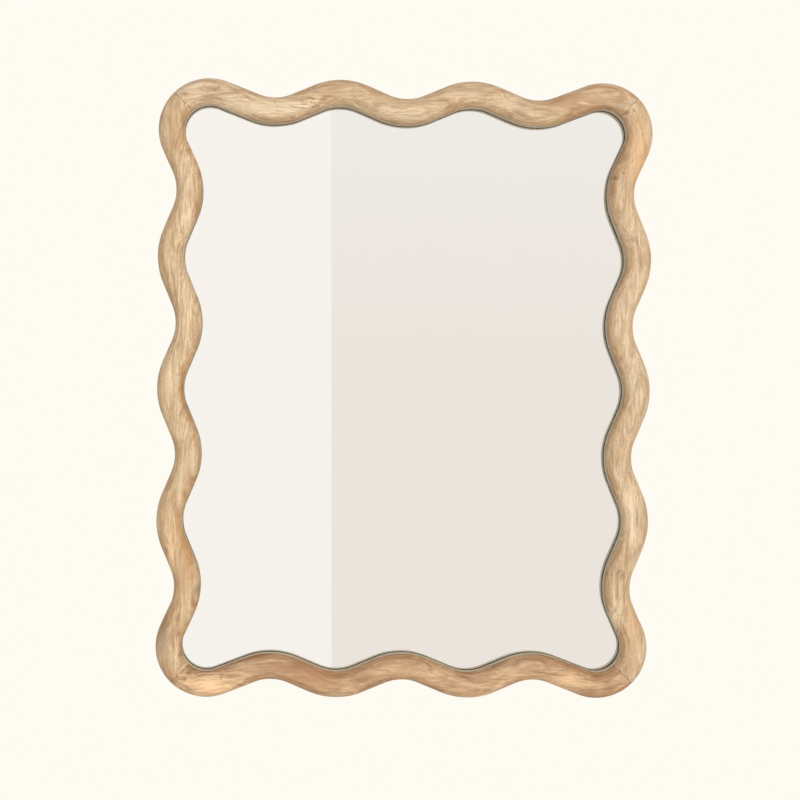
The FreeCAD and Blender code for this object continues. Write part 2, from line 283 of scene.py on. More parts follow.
def mango_wood(name, along_z, place, heart, slope, colours, loops, marks):
    """One board. Its grain runs along X, or Z for a stile, place is where in the noise it lies, heart the
    pith's depth and offset, slope how the pith leans, and colours go from pale to dark. A loop, where a
    layer's tip is cut across, is its place, half its straight part and its radius. A mark is its place,
    half its size, its colour and its strength."""
    pale, tone, streak, deep = (linear(colour) for colour in colours)
    material, tree, shader = new_material(name)
    where = add_node(tree, "ShaderNodeTexCoord").outputs["Object"]
    board = add_node(tree, "ShaderNodeMapping", {
        "Vector": where, "Rotation": (0, radians(90) if along_z else 0, 0), "Location": place}).outputs[0]
    # the fibres wander a little round knots and with the tree's growth
    slow = add_node(tree, "ShaderNodeVectorMath", {0: board, 1: WANDER_SCALE}, operation="MULTIPLY")
    wander = add_node(tree, "ShaderNodeTexNoise", {"Vector": slow.outputs[0], "Scale": 1, "Detail": 3})
    centred = add_node(tree, "ShaderNodeVectorMath", {0: wander.outputs["Color"], 1: (0.5, 0.5, 0.5)},
                       operation="SUBTRACT")
    drift = add_node(tree, "ShaderNodeVectorMath", {0: centred.outputs[0], 1: WANDER_REACH},
                     operation="MULTIPLY")
    grown = add_node(tree, "ShaderNodeVectorMath", {
        0: board, 1: drift.outputs[0]}, operation="ADD").outputs[0]
    # growth layers: cylinders about a pith that lies aslant behind the board
    split = add_node(tree, "ShaderNodeSeparateXYZ", {0: grown})
    depth = add_node(tree, "ShaderNodeMath", {0: split.outputs[0], 1: slope, 2: -heart[0]},
                     operation="MULTIPLY_ADD")
    behind = add_node(tree, "ShaderNodeMath", {0: split.outputs[1], 1: depth.outputs[0]}, operation="ADD")
    aside = add_node(tree, "ShaderNodeMath", {0: split.outputs[2], 1: heart[1]}, operation="SUBTRACT")
    spoke = add_node(tree, "ShaderNodeCombineXYZ", {0: behind.outputs[0], 1: aside.outputs[0]})
    reach = add_node(tree, "ShaderNodeVectorMath", {0: spoke.outputs[0]}, operation="LENGTH").outputs["Value"]
    phase = add_node(tree, "ShaderNodeMath", {0: reach, 1: 2 * pi / RING_WIDTH}, operation="MULTIPLY")
    swing = add_node(tree, "ShaderNodeMath", {0: phase.outputs[0]}, operation="SINE")
    ring = add_node(tree, "ShaderNodeMapRange", {
        "Value": swing.outputs[0], "From Min": LATE_START, "From Max": LATE_END},
        interpolation_type="SMOOTHSTEP")
    layers = add_node(tree, "ShaderNodeCombineXYZ", {
        0: split.outputs[0], 1: reach, 2: aside.outputs[0]}).outputs[0]
    # layers, fibres, pores, clouds and a tint, each a noise drawn out along the grain
    found = {}
    for part, source, size, detail, low, high in (
            ("layer", layers, (LAYER_LENGTH, LAYER_THICKNESS, LAYER_ROUND), 4, 0.36, 0.70),
            ("fibre", grown, (FIBRE_LENGTH, FIBRE_WIDTH, FIBRE_WIDTH), 4, 0.34, 0.68),
            ("pore", grown, (PORE_LENGTH, PORE_WIDTH, PORE_WIDTH), 1, 0.60, 0.70),
            ("cloud", grown, (CLOUD_LENGTH, CLOUD_WIDTH, CLOUD_WIDTH), 3, 0.34, 0.68),
            ("tint", board, (CLOUD_WIDTH * 2, CLOUD_WIDTH, CLOUD_WIDTH * 1.4), 2, 0.42, 0.66)):
        squeeze = tuple(1 / length for length in size)
        drawn = add_node(tree, "ShaderNodeVectorMath", {0: source, 1: squeeze}, operation="MULTIPLY")
        cells = add_node(tree, "ShaderNodeTexNoise", {
            "Vector": drawn.outputs[0], "Scale": 1, "Detail": detail, "Roughness": 0.6})
        found[part] = add_node(tree, "ShaderNodeMapRange", {
            "Value": cells.outputs["Fac"], "From Min": low, "From Max": high}).outputs[0]
    # painted shade darkens the flanks, more in the clouds, a painted highlight makes the crown paler, and the
    # rings show only in the tint
    spot = add_node(tree, "ShaderNodeSeparateXYZ", {0: where})
    flank_painted_shade = add_node(tree, "ShaderNodeMapRange", {
        "Value": spot.outputs[1], "From Min": HIGHLIGHT_TO_SHADE_DEPTH, "From Max": PAINTED_SHADE_END, "To Max": PAINTED_SHADE_SHARE})
    flank_painted_shade = add_node(tree, "ShaderNodeMath", {0: flank_painted_shade.outputs[0], 1: found["cloud"]}, operation="MULTIPLY")
    crown_painted_highlight = add_node(tree, "ShaderNodeMapRange", {
        "Value": spot.outputs[1], "From Min": PAINTED_HIGHLIGHT_END, "From Max": HIGHLIGHT_TO_SHADE_DEPTH}).outputs[0]
    faint = add_node(tree, "ShaderNodeMath", {0: ring.outputs[0], 1: found["tint"]}, operation="MULTIPLY")
    # the glue line of the mitres comes and goes
    folded = add_node(tree, "ShaderNodeVectorMath", {0: where}, operation="ABSOLUTE")
    folded = add_node(tree, "ShaderNodeSeparateXYZ", {0: folded.outputs[0]})
    off = add_node(tree, "ShaderNodeMath", {0: folded.outputs[2], 1: folded.outputs[0]}, operation="SUBTRACT")
    off = add_node(tree, "ShaderNodeMath", {0: off.outputs[0], 1: MITRE_SHIFT}, operation="SUBTRACT")
    off = add_node(tree, "ShaderNodeMath", {0: off.outputs[0]}, operation="ABSOLUTE")
    glue = add_node(tree, "ShaderNodeMapRange", {
        "Value": off.outputs[0], "From Min": GLUE_LINE, "From Max": 4 * GLUE_LINE, "To Min": 1, "To Max": 0})
    glue = add_node(tree, "ShaderNodeMath", {0: glue.outputs[0], 1: found["fibre"]}, operation="MULTIPLY")
    # colour, from the palest wood to the darkest line, with the crown's painted highlight and the flanks'
    # painted shade
    body = pale
    for share, strength, colour in (
            (found["cloud"], 0.80, tone), (found["tint"], 0.30, streak), (crown_painted_highlight, 0.40, pale),
            (flank_painted_shade.outputs[0], 0.80, streak), (found["layer"], 0.62, streak), (faint.outputs[0], 0.40, deep),
            (found["fibre"], 0.44, deep), (found["pore"], 0.55, linear(PORE_COLOUR)),
            (glue.outputs[0], 0.85, linear(GLUE_COLOUR))):
        weight = add_node(tree, "ShaderNodeMath", {0: share, 1: strength}, operation="MULTIPLY")
        body = add_node(tree, "ShaderNodeMix", {0: weight.outputs[0], 6: body, 7: colour},
                        data_type="RGBA").outputs[2]
    # loops: dark lines round the cut tips of layers, wobbling with the layers and broken by the fibres
    for centre, straight, radius in loops:
        past = add_node(tree, "ShaderNodeVectorMath", {
            0: where, 1: (centre[0], 0, centre[1])}, operation="SUBTRACT")
        past = add_node(tree, "ShaderNodeVectorMath", {
            0: past.outputs[0], 1: (1, 0, 1)}, operation="MULTIPLY")
        past = add_node(tree, "ShaderNodeVectorMath", {0: past.outputs[0]}, operation="ABSOLUTE")
        past = add_node(tree, "ShaderNodeVectorMath", {
            0: past.outputs[0], 1: (straight[0], 0, straight[1])}, operation="SUBTRACT")
        past = add_node(tree, "ShaderNodeVectorMath", {
            0: past.outputs[0], 1: (0, 0, 0)}, operation="MAXIMUM")
        past = add_node(tree, "ShaderNodeVectorMath", {0: past.outputs[0]}, operation="LENGTH")
        beyond = add_node(tree, "ShaderNodeMath", {
            0: found["layer"], 1: LOOP_WOBBLE, 2: past.outputs["Value"]}, operation="MULTIPLY_ADD")
        beyond = add_node(tree, "ShaderNodeMath", {0: beyond.outputs[0], 1: radius}, operation="SUBTRACT")
        beyond = add_node(tree, "ShaderNodeMath", {0: beyond.outputs[0]}, operation="ABSOLUTE")
        line = add_node(tree, "ShaderNodeMapRange", {
            "Value": beyond.outputs[0], "From Max": LOOP_LINE, "To Min": 1, "To Max": 0})
        line = add_node(tree, "ShaderNodeMath", {0: line.outputs[0], 1: found["fibre"]}, operation="MULTIPLY")
        body = add_node(tree, "ShaderNodeMix", {
            0: line.outputs[0], 6: body, 7: deep}, data_type="RGBA").outputs[2]
    # knots, stains and pale patches, with edges frayed by the fibres
    for centre, half, colour, strength in marks:
        off_centre = add_node(tree, "ShaderNodeVectorMath", {
            0: where, 1: (centre[0], 0, centre[1])}, operation="SUBTRACT")
        squeezed = add_node(tree, "ShaderNodeVectorMath", {
            0: off_centre.outputs[0], 1: (1 / half[0], 0, 1 / half[1])}, operation="MULTIPLY")
        away = add_node(tree, "ShaderNodeVectorMath", {0: squeezed.outputs[0]}, operation="LENGTH")
        frayed = add_node(tree, "ShaderNodeMath", {
            0: found["fibre"], 1: FRAYED_BY, 2: away.outputs["Value"]}, operation="MULTIPLY_ADD")
        shown = add_node(tree, "ShaderNodeMapRange", {
            "Value": frayed.outputs[0], "From Min": FRAYED_FROM, "From Max": FRAYED_TO,
            "To Min": strength, "To Max": 0})
        body = add_node(tree, "ShaderNodeMix", {
            0: shown.outputs[0], 6: body, 7: linear(colour)}, data_type="RGBA").outputs[2]
    # the oil is satin on the fibres, and the pores are open
    rough = add_node(tree, "ShaderNodeMapRange", {
        "Value": found["fibre"], "To Min": SATIN_LOW, "To Max": SATIN_HIGH})
    relief = add_node(tree, "ShaderNodeMath", {
        0: found["pore"], 1: -1, 2: found["fibre"]}, operation="MULTIPLY_ADD")
    bump = add_node(tree, "ShaderNodeBump", {
        "Height": relief.outputs[0], "Strength": RELIEF_STRENGTH, "Distance": RELIEF_DEPTH})
    tree.links.new(body, shader.inputs["Base Color"])
    tree.links.new(rough.outputs[0], shader.inputs["Roughness"])
    tree.links.new(bump.outputs[0], shader.inputs["Normal"])
    return material


# The insides of the lip and of the rabbet are left as they were cut: dry and without oil. Their pale colour
# is partly bare wood and partly painted light, standing in for the light the mirror throws back onto them.
bare_wood_and_painted_light, bare_tree, bare_shader = new_material("bare_sawn_mango_and_painted_light")
bare_place = add_node(bare_tree, "ShaderNodeTexCoord").outputs["Object"]
bare_fuzz = add_node(bare_tree, "ShaderNodeTexNoise", {"Vector": bare_place, "Scale": 260, "Detail": 3})
bare_colour_and_painted_light = add_node(bare_tree, "ShaderNodeMix", {0: bare_fuzz.outputs["Fac"], 6: linear("f3ead8"),
                                                    7: linear("d9c8ac")}, data_type="RGBA")
bare_tree.links.new(bare_colour_and_painted_light.outputs[2], bare_shader.inputs["Base Color"])
bare_shader.inputs["Roughness"].default_value = 0.7

KNOT, STAIN, REDDISH, GREYISH, PEACH, PALE = "7d542f", "a77a4b", "9a5f35", "8f7658", "ffd7a6", "fde3bd"
BROWNISH, AMBER, HONEY, CREAMY = "a9764a", "c8945a", "e2b076", "fae3c0"
GOLDEN, TAWNY = "e0a95c", "c98a4e"
RAIL_MOVES = side_moves(LINE_WIDTH, RAIL_VALLEYS)
STILE_MOVES = side_moves(LINE_HEIGHT, STILE_VALLEYS)
SIDES = (
    ("top_rail", mitre(-1, 1), 45, RAIL_MOVES, (0, -1),
     mango_wood(
         "oiled_mango_top_rail", False, (0.31, 0.02, -0.02), (0.075, 0.335), 0.050,
         ("f8e3c0", "d9b689", "ae7f52", "835730"),
         [((-0.1237, 0.3515), (0.003, 0), 0.0038), ((-0.138, 0.350), (0.018, 0), 0.0068)],
         [((-0.175, 0.344), (0.095, 0.020), CREAMY, 0.50), ((-0.273, 0.359), (0.006, 0.003), REDDISH, 0.7),
          ((-0.231, 0.368), (0.003, 0.002), KNOT, 0.7), ((-0.200, 0.352), (0.010, 0.003), PALE, 0.7),
          ((-0.134, 0.354), (0.014, 0.004), STAIN, 0.5), ((-0.076, 0.377), (0.014, 0.005), GREYISH, 0.4),
          ((0.195, 0.358), (0.065, 0.018), BROWNISH, 0.50), ((0.248, 0.368), (0.016, 0.003), KNOT, 0.5),
          ((0.216, 0.353), (0.012, 0.003), PALE, 0.5)])),
    ("right_stile", mitre(1, 1), -45, STILE_MOVES, (-1, 0),
     mango_wood(
         "oiled_mango_right_stile", True, (0.93, 0.04, 0.11), (0.060, -0.170), -0.035,
         ("f8e3c0", "dab88e", "b3875a", "855a34"),
         [((0.2685, -0.248), (0, 0.024), 0.0048)],
         [((0.287, 0.282), (0.022, 0.085), HONEY, 0.50), ((0.279, -0.144), (0.018, 0.055), CREAMY, 0.60),
          # the creamy patch at x 0.262 on the next line is painted light over the shade of the inner flank,
          # which faces away from the key lamp
          ((0.285, -0.285), (0.016, 0.070), AMBER, 0.40), ((0.262, -0.285), (0.011, 0.040), CREAMY, 0.80),
          ((0.270, 0.343), (0.004, 0.004), KNOT, 0.8), ((0.278, 0.345), (0.0025, 0.0025), KNOT, 0.6),
          ((0.257, 0.263), (0.006, 0.004), KNOT, 0.8), ((0.266, 0.269), (0.003, 0.003), KNOT, 0.5),
          ((0.255, 0.247), (0.005, 0.013), STAIN, 0.7), ((0.268, 0.288), (0.008, 0.012), GREYISH, 0.5),
          ((0.293, 0.300), (0.004, 0.010), STAIN, 0.5), ((0.271, -0.227), (0.005, 0.008), GREYISH, 0.7),
          ((0.252, -0.225), (0.004, 0.010), STAIN, 0.7),
          ((0.250, -0.252), (0.003, 0.012), STAIN, 0.2)])),
    ("bottom_rail", mitre(1, -1), -135, RAIL_MOVES, (0, 1),
     mango_wood(
         "oiled_mango_bottom_rail", False, (-0.42, 0.03, 0.27), (0.085, -0.085), 0.040,
         ("f3d0a6", "c69b70", "9c6d46", "6f4427"),
         [],
         [((-0.237, -0.365), (0.050, 0.020), PEACH, 0.9), ((0.200, -0.359), (0.050, 0.018), PEACH, 0.45),
          ((-0.109, -0.352), (0.055, 0.018), BROWNISH, 0.60),
          ((-0.263, -0.349), (0.005, 0.003), KNOT, 0.8), ((-0.268, -0.356), (0.004, 0.003), REDDISH, 0.8),
          ((-0.223, -0.354), (0.003, 0.005), KNOT, 0.4),
          ((-0.133, -0.342), (0.045, 0.008), REDDISH, 0.35),
          ((0.116, -0.338), (0.040, 0.006), GREYISH, 0.4),
          ((0.277, -0.349), (0.007, 0.003), REDDISH, 0.5)])),
    ("left_stile", mitre(-1, -1), -225, STILE_MOVES, (1, 0),
     mango_wood(
         "oiled_mango_left_stile", True, (1.57, 0.01, 0.36), (0.065, 0.660), 0.030,
         ("f9e4bd", "dcb585", "b17f4e", "86572e"),
         [],
         [((-0.268, 0.180), (0.015, 0.150), CREAMY, 0.50),
          ((-0.286, -0.200), (0.008, 0.055), PEACH, 0.60), ((-0.267, -0.190), (0.014, 0.095), AMBER, 0.60),
          ((-0.254, 0.264), (0.004, 0.009), STAIN, 0.6), ((-0.257, 0.223), (0.004, 0.010), STAIN, 0.6),
          ((-0.254, -0.248), (0.006, 0.010), GREYISH, 0.6),
          ((-0.251, -0.225), (0.004, 0.018), GOLDEN, 0.6),
          ((-0.294, -0.304), (0.010, 0.050), GREYISH, 0.55),
          ((-0.278, -0.325), (0.004, 0.030), PALE, 0.6), ((-0.274, -0.364), (0.005, 0.005), TAWNY, 0.7)])),
)
for side_name, side_start, side_heading, side_path, inward, side_wood in SIDES:
    side = frame_side(side_name + "_wood", side_start, side_heading, side_path)
    cut_away(side, rabbet_cutter())
    # the inward upright faces take the bare wood, whose pale colour also holds painted light from the mirror
    for face in side.data.polygons:
        upright = abs(face.normal.y) < LIP_UPRIGHT
        facing_in = face.normal.x * inward[0] + face.normal.z * inward[1] > LIP_FACING
        face.material_index = 1 if upright and facing_in else 0
    fit(side, [side_wood, bare_wood_and_painted_light], "frame", "oiled_wood", side_name)


# ---- The keys in the mitres ---------------------------------------------------------------------
# Four flat splines of planed beech. Each is glued into a slot across a mitre, inside the wood, where
# it can't be seen.

beech, beech_tree, beech_shader = new_material("planed_beech")
beech_place = add_node(beech_tree, "ShaderNodeTexCoord").outputs["Object"]
beech_grain = add_node(beech_tree, "ShaderNodeVectorMath", {0: beech_place, 1: (900, 900, 60)},
                       operation="MULTIPLY")
beech_fleck = add_node(beech_tree, "ShaderNodeTexNoise", {"Vector": beech_grain.outputs[0], "Scale": 1})
beech_colour = add_node(beech_tree, "ShaderNodeMix", {0: beech_fleck.outputs["Fac"], 6: linear("e2bf95"),
                                                      7: linear("c49a6c")}, data_type="RGBA")
beech_tree.links.new(beech_colour.outputs[2], beech_shader.inputs["Base Color"])
beech_shader.inputs["Roughness"].default_value = 0.6
for corner in ("top_left", "top_right", "bottom_right", "bottom_left"):
    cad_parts[corner + "_spline"].data.materials[0] = beech


# ---- The mirror glass ---------------------------------------------------------------------------
# A rectangle of 4 mm float glass, silvered and painted on its back, with seamed edges. It lies in
# the rabbet, so the wavy lip in front of it is seen again in the silver, one glass thickness away.

SEAM = 0.0006
SHEET_GAP = 0.00003

clear_glass, _, glass_shader = new_material("polished_float_glass")
glass_shader.inputs["Base Color"].default_value = linear("fcfefc")
glass_shader.inputs["Transmission Weight"].default_value = 1
glass_shader.inputs["Roughness"].default_value = 0
glass_shader.inputs["IOR"].default_value = 1.52
silver, _, silver_shader = new_material("silvering_behind_glass")
silver_shader.inputs["Base Color"].default_value = linear("faf9f7")
silver_shader.inputs["Metallic"].default_value = 1
silver_shader.inputs["Roughness"].default_value = 0.0

glass_low, glass_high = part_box("mirror_glass")
glass_low += Vector((0, SHEET_GAP, 0))
glass_high -= Vector((0, SHEET_GAP, 0))
sheet = bmesh.new()
bmesh.ops.create_cube(sheet, size=1)
bmesh.ops.scale(sheet, vec=glass_high - glass_low, verts=sheet.verts)
bmesh.ops.translate(sheet, vec=(glass_low + glass_high) / 2, verts=sheet.verts)
bmesh.ops.bevel(sheet, geom=sheet.edges[:], offset=SEAM, offset_type="OFFSET", segments=1, profile=0.5,
                affect="EDGES", material=-1)
sheet.normal_update()
for face in sheet.faces:
    face.material_index = 1 if face.normal.y > 0.9 else 0
mirror = as_object("mirror_glass_silvered", sheet)
fit(mirror, [clear_glass, silver], "frame", "mirror", "mirror_glass", smooth_below=10)


# ---- What lies behind the glass -----------------------------------------------------------------
# A thin foam sheet keeps the silvering from rubbing. A brown hardboard closes the rabbet: pressed
# wood fibre, matt and flecked.

foam, foam_tree, foam_shader = new_material("white_pe_foam")
foam_place = add_node(foam_tree, "ShaderNodeTexCoord").outputs["Object"]
foam_cells = add_node(foam_tree, "ShaderNodeTexVoronoi", {"Vector": foam_place, "Scale": 900})
foam_bump = add_node(foam_tree, "ShaderNodeBump", {"Height": foam_cells.outputs["Distance"], "Strength": 0.5,
                                                   "Distance": 0.0002})
foam_tree.links.new(foam_bump.outputs[0], foam_shader.inputs["Normal"])
foam_shader.inputs["Base Color"].default_value = linear("efefec")
foam_shader.inputs["Roughness"].default_value = 0.8
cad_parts["foam_sheet"].data.materials[0] = foam

hardboard, board_tree, board_shader = new_material("pressed_hardboard")
board_place = add_node(board_tree, "ShaderNodeTexCoord").outputs["Object"]
board_fibre = add_node(board_tree, "ShaderNodeTexNoise", {"Vector": board_place, "Scale": 520, "Detail": 5,
                                                          "Roughness": 0.7, "Distortion": 1.4})
board_cloud = add_node(board_tree, "ShaderNodeTexNoise", {"Vector": board_place, "Scale": 9, "Detail": 3})
board_colour = add_node(board_tree, "ShaderNodeMix", {0: board_fibre.outputs["Fac"], 6: linear("8d6744"),
                                                      7: linear("5f4129")}, data_type="RGBA")
board_tint = add_node(board_tree, "ShaderNodeMapRange", {
    "Value": board_cloud.outputs["Fac"], "From Min": 0.35, "From Max": 0.65, "To Min": 0, "To Max": 0.3})
board_colour = add_node(board_tree, "ShaderNodeMix", {0: board_tint.outputs[0], 6: board_colour.outputs[2],
                                                      7: linear("9a7650")}, data_type="RGBA")
board_bump = add_node(board_tree, "ShaderNodeBump", {"Height": board_fibre.outputs["Fac"], "Strength": 0.6,
                                                     "Distance": 0.0001})
board_tree.links.new(board_colour.outputs[2], board_shader.inputs["Base Color"])
board_tree.links.new(board_bump.outputs[0], board_shader.inputs["Normal"])
board_shader.inputs["Roughness"].default_value = 0.62
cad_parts["back_board"].data.materials[0] = hardboard


# ---- The points over the board ------------------------------------------------------------------
# Flat glazing points stamped from bright steel strip: the sharp end is pushed into the rabbet's
# wall, and the rounded end lies on the board.

POINT_WIDTH, POINT_THICKNESS = 0.006, 0.0004
POINT_IN_WOOD, POINT_ON_BOARD = 0.007, 0.008
POINT_ROUNDING, POINT_TAPER = 0.0022, 0.0029
BOARD_BACK = -0.001


def steel(name, colour, roughness, scuffed):
    """Plated or bright steel, with fine scuffs that break the reflection up."""
    material, tree, shader = new_material(name)
    place = add_node(tree, "ShaderNodeTexCoord").outputs["Object"]
    scuffs = add_node(tree, "ShaderNodeTexNoise", {
        "Vector": place, "Scale": 900, "Detail": 3, "Roughness": 0.6}).outputs["Fac"]
    rough = add_node(tree, "ShaderNodeMapRange", {
        "Value": scuffs, "From Min": 0.3, "From Max": 0.7,
        "To Min": roughness - scuffed, "To Max": roughness + scuffed})
    bump = add_node(tree, "ShaderNodeBump", {"Height": scuffs, "Strength": 0.15, "Distance": 0.00003})
    tree.links.new(rough.outputs[0], shader.inputs["Roughness"])
    tree.links.new(bump.outputs[0], shader.inputs["Normal"])
    shader.inputs["Base Color"].default_value = linear(colour)
    shader.inputs["Metallic"].default_value = 1
    return material


def spin_about(made, turn, axis):
    """Turns all of a bmesh about an axis through the origin, by degrees."""
    bmesh.ops.rotate(made, verts=made.verts, cent=(0, 0, 0), matrix=Matrix.Rotation(radians(turn), 3, axis))


def spread(count):
    """Places of a row of crests along a side, from its middle."""
    return [(place - (count - 1) / 2) * WAVE_PITCH for place in range(count)]


bright_steel = steel("bright_steel_strip", "bdbbb6", 0.36, 0.08)
corner_x = LINE_WIDTH / 2 - CORNER_RADIUS
corner_z = LINE_HEIGHT / 2 - CORNER_RADIUS
point_places = []
for turn, wall, places in (
        (0, FRAME_HEIGHT / 2 - RABBET_INSET, spread(RAIL_VALLEYS - 1) + [-corner_x, corner_x]),
        (90, FRAME_WIDTH / 2 - RABBET_INSET, spread(STILE_VALLEYS - 1) + [-corner_z, corner_z])):
    for half_turn in (0, 180):
        point_places += [(turn + half_turn, wall, place) for place in places]
points = bmesh.new()
for turn, wall, place in point_places:
    one = bmesh.new()
    bmesh.ops.create_cube(one, size=1)
    bmesh.ops.scale(one, vec=(POINT_WIDTH, POINT_THICKNESS, POINT_IN_WOOD + POINT_ON_BOARD), verts=one.verts)
    upright = [e for e in one.edges if abs(e.verts[0].co.y - e.verts[1].co.y) > 0.9 * POINT_THICKNESS]
    rounded = [e for e in upright if e.verts[0].co.z < 0]
    pointed = [e for e in upright if e.verts[0].co.z > 0]
    for ends, offset, segments in ((rounded, POINT_ROUNDING, 5), (pointed, POINT_TAPER, 1)):
        bmesh.ops.bevel(one, geom=ends, offset=offset, offset_type="OFFSET", segments=segments, profile=0.5,
                        affect="EDGES", material=-1)
    bmesh.ops.translate(one, verts=one.verts, vec=(place, BOARD_BACK + POINT_THICKNESS / 2,
                                                   wall + (POINT_IN_WOOD - POINT_ON_BOARD) / 2))
    spin_about(one, turn, "Y")
    add_to(points, one)
board_points = as_object("board_points_stamped", points)
fit(board_points, bright_steel, "frame", "plated_steel", "board_points")


# ---- The hangers --------------------------------------------------------------------------------
# On the back of each stile: a nickel-plated steel strap folded round the bar of a D ring, held by
# two pan-head screws. The ring swings in the fold.

STRAP_THICKNESS, STRAP_WIDTH, STRAP_LENGTH = 0.0009, 0.010, 0.028
STRAP_CORNER, STRAP_LAYER_GAP = 0.0025, 0.0001
STRAP_NECK_TURN, STRAP_NECK_RADIUS = 40.0, 0.0015
HOLE_RADIUS = 0.00195
HOLE_PLACES = (-0.0095, -0.022)
DRILL_LENGTH = 0.02
WIRE_RADIUS = 0.0013
RING_PLAY = 0.00005
RING_HALF_WIDTH, RING_CORNER, RING_LEG_TOP = 0.0077, 0.0025, 0.0075
HANGER_X = FRAME_WIDTH / 2 - 0.0145
HANGER_Z = WAVE_PITCH + 0.004
LOOP_RADIUS = WIRE_RADIUS + RING_PLAY + STRAP_THICKNESS / 2
LOOP_HEIGHT = STRAP_THICKNESS / 2 + LOOP_RADIUS
SEAT = 2 * STRAP_THICKNESS + STRAP_LAYER_GAP
BEND_STEP = 0.0003


def drill(x, z):
    """Cutter for one screw hole, from front to back."""
    made = bmesh.new()
    bmesh.ops.create_cone(made, cap_ends=True, segments=32, radius1=HOLE_RADIUS, radius2=HOLE_RADIUS,
                          depth=DRILL_LENGTH)
    spin_about(made, 90, "X")
    bmesh.ops.translate(made, verts=made.verts, vec=(x, 0, z))
    return as_object("drill", made)


def folded_strap(name, x):
    """One strip: up the back, round the ring's bar, through the neck and down again on itself."""
    turn = radians(STRAP_NECK_TURN)
    drop = LOOP_RADIUS * (1 + cos(turn)) - STRAP_THICKNESS - STRAP_LAYER_GAP
    neck = (drop - STRAP_NECK_RADIUS * (1 - cos(turn))) / sin(turn)
    used = (LOOP_RADIUS + STRAP_NECK_RADIUS) * sin(turn) + neck * cos(turn)
    moves = [(STRAP_LENGTH, 0), (LOOP_RADIUS, -180 - STRAP_NECK_TURN), (neck, 0),
             (STRAP_NECK_RADIUS, STRAP_NECK_TURN), (STRAP_LENGTH - used, 0)]
    made = bmesh.new()
    bmesh.ops.create_grid(made, x_segments=1, y_segments=1, size=0.5)
    bmesh.ops.scale(made, vec=(STRAP_WIDTH, STRAP_THICKNESS, 1), verts=made.verts)
    bmesh.ops.translate(made, vec=(0, STRAP_THICKNESS / 2, -STRAP_LENGTH), verts=made.verts)
    first = list(made.edges)
    last = carry(made, first, ((-STRAP_LENGTH, STRAP_THICKNESS / 2), 0), moves, BEND_STEP, STRAP_LENGTH,
                 ((0, 0, 1), (0, 1, 0)))
    bmesh.ops.edgeloop_fill(made, edges=last)
    bmesh.ops.recalc_face_normals(made, faces=made.faces)
    low = min(v.co.z for v in made.verts)
    corners = [e for e in made.edges if all(v.co.z < low + 1e-5 for v in e.verts)
               and abs(e.verts[0].co.x - e.verts[1].co.x) < 1e-6]
    bmesh.ops.bevel(made, geom=corners, offset=STRAP_CORNER, offset_type="OFFSET", segments=6, profile=0.5,
                    affect="EDGES", material=-1)
    bmesh.ops.translate(made, vec=(x, 0, HANGER_Z), verts=made.verts)
    piece = as_object(name, made)
    for hole in HOLE_PLACES:
        cut_away(piece, drill(x, HANGER_Z + hole))
    return piece


def d_ring(name, x):
    """Round wire bent to a D, from the middle of its bar and back, with the butt inside the fold."""
    half_bar = (RING_HALF_WIDTH - RING_CORNER, 0)
    leg = (RING_LEG_TOP - RING_CORNER, 0)
    bend = (RING_CORNER, 90)
    moves = [half_bar, bend, leg, (RING_HALF_WIDTH, 180), leg, bend, half_bar]
    made = bmesh.new()
    bmesh.ops.create_circle(made, segments=20, radius=WIRE_RADIUS)
    spin_about(made, 90, "Y")
    bmesh.ops.translate(made, verts=made.verts, vec=(0, LOOP_HEIGHT, 0))
    carry(made, list(made.edges), ((0, 0), 180), moves, 2 * BEND_STEP, RING_LEG_TOP, ((1, 0, 0), (0, 0, 1)))
    bmesh.ops.remove_doubles(made, verts=made.verts, dist=0.00001)
    bmesh.ops.recalc_face_normals(made, faces=made.faces)
    bmesh.ops.translate(made, verts=made.verts, vec=(x, 0, HANGER_Z))
    return as_object(name, made)


HEAD_RADIUS, HEAD_HEIGHT = 0.00325, 0.0022
HEAD_LINE = ((0, HEAD_HEIGHT), (0.0017, HEAD_HEIGHT), (0.0026, 0.0019), (0.0031, 0.0013),
             (HEAD_RADIUS, 0.0006), (HEAD_RADIUS, 0.0001), (0.0031, 0))
CORE_RADIUS, CORE_END, SCREW_LENGTH = 0.00115, -0.0105, 0.013
RECESS_TIP, RECESS_MOUTH, RECESS_DEPTH, RECESS_NARROW = 0.0007, 0.0032, 0.0018, 0.2
RECESS_SUNK = 0.0005
THREAD_ROOT, THREAD_RADIUS, HALF_THREAD = 0.9 * CORE_RADIUS, 0.0017, 0.0005
THREAD_PITCH, THREAD_START = 0.0014, -0.0103
THREAD_TURNS, THREAD_STEPS = 6.5, 20


def turned(made, line, steps):
    """Turns a line of (radius, height) points about the Y axis, as on a lathe."""
    outline = [made.verts.new((radius, up, 0)) for radius, up in line]
    edges = [made.edges.new(pair) for pair in zip(outline, outline[1:])]
    bmesh.ops.spin(made, geom=outline + edges, cent=(0, 0, 0), axis=(0, 1, 0), angle=2 * pi, steps=steps,
                   use_merge=True)
    bmesh.ops.remove_doubles(made, verts=made.verts, dist=0.000001)
    bmesh.ops.recalc_face_normals(made, faces=made.faces)


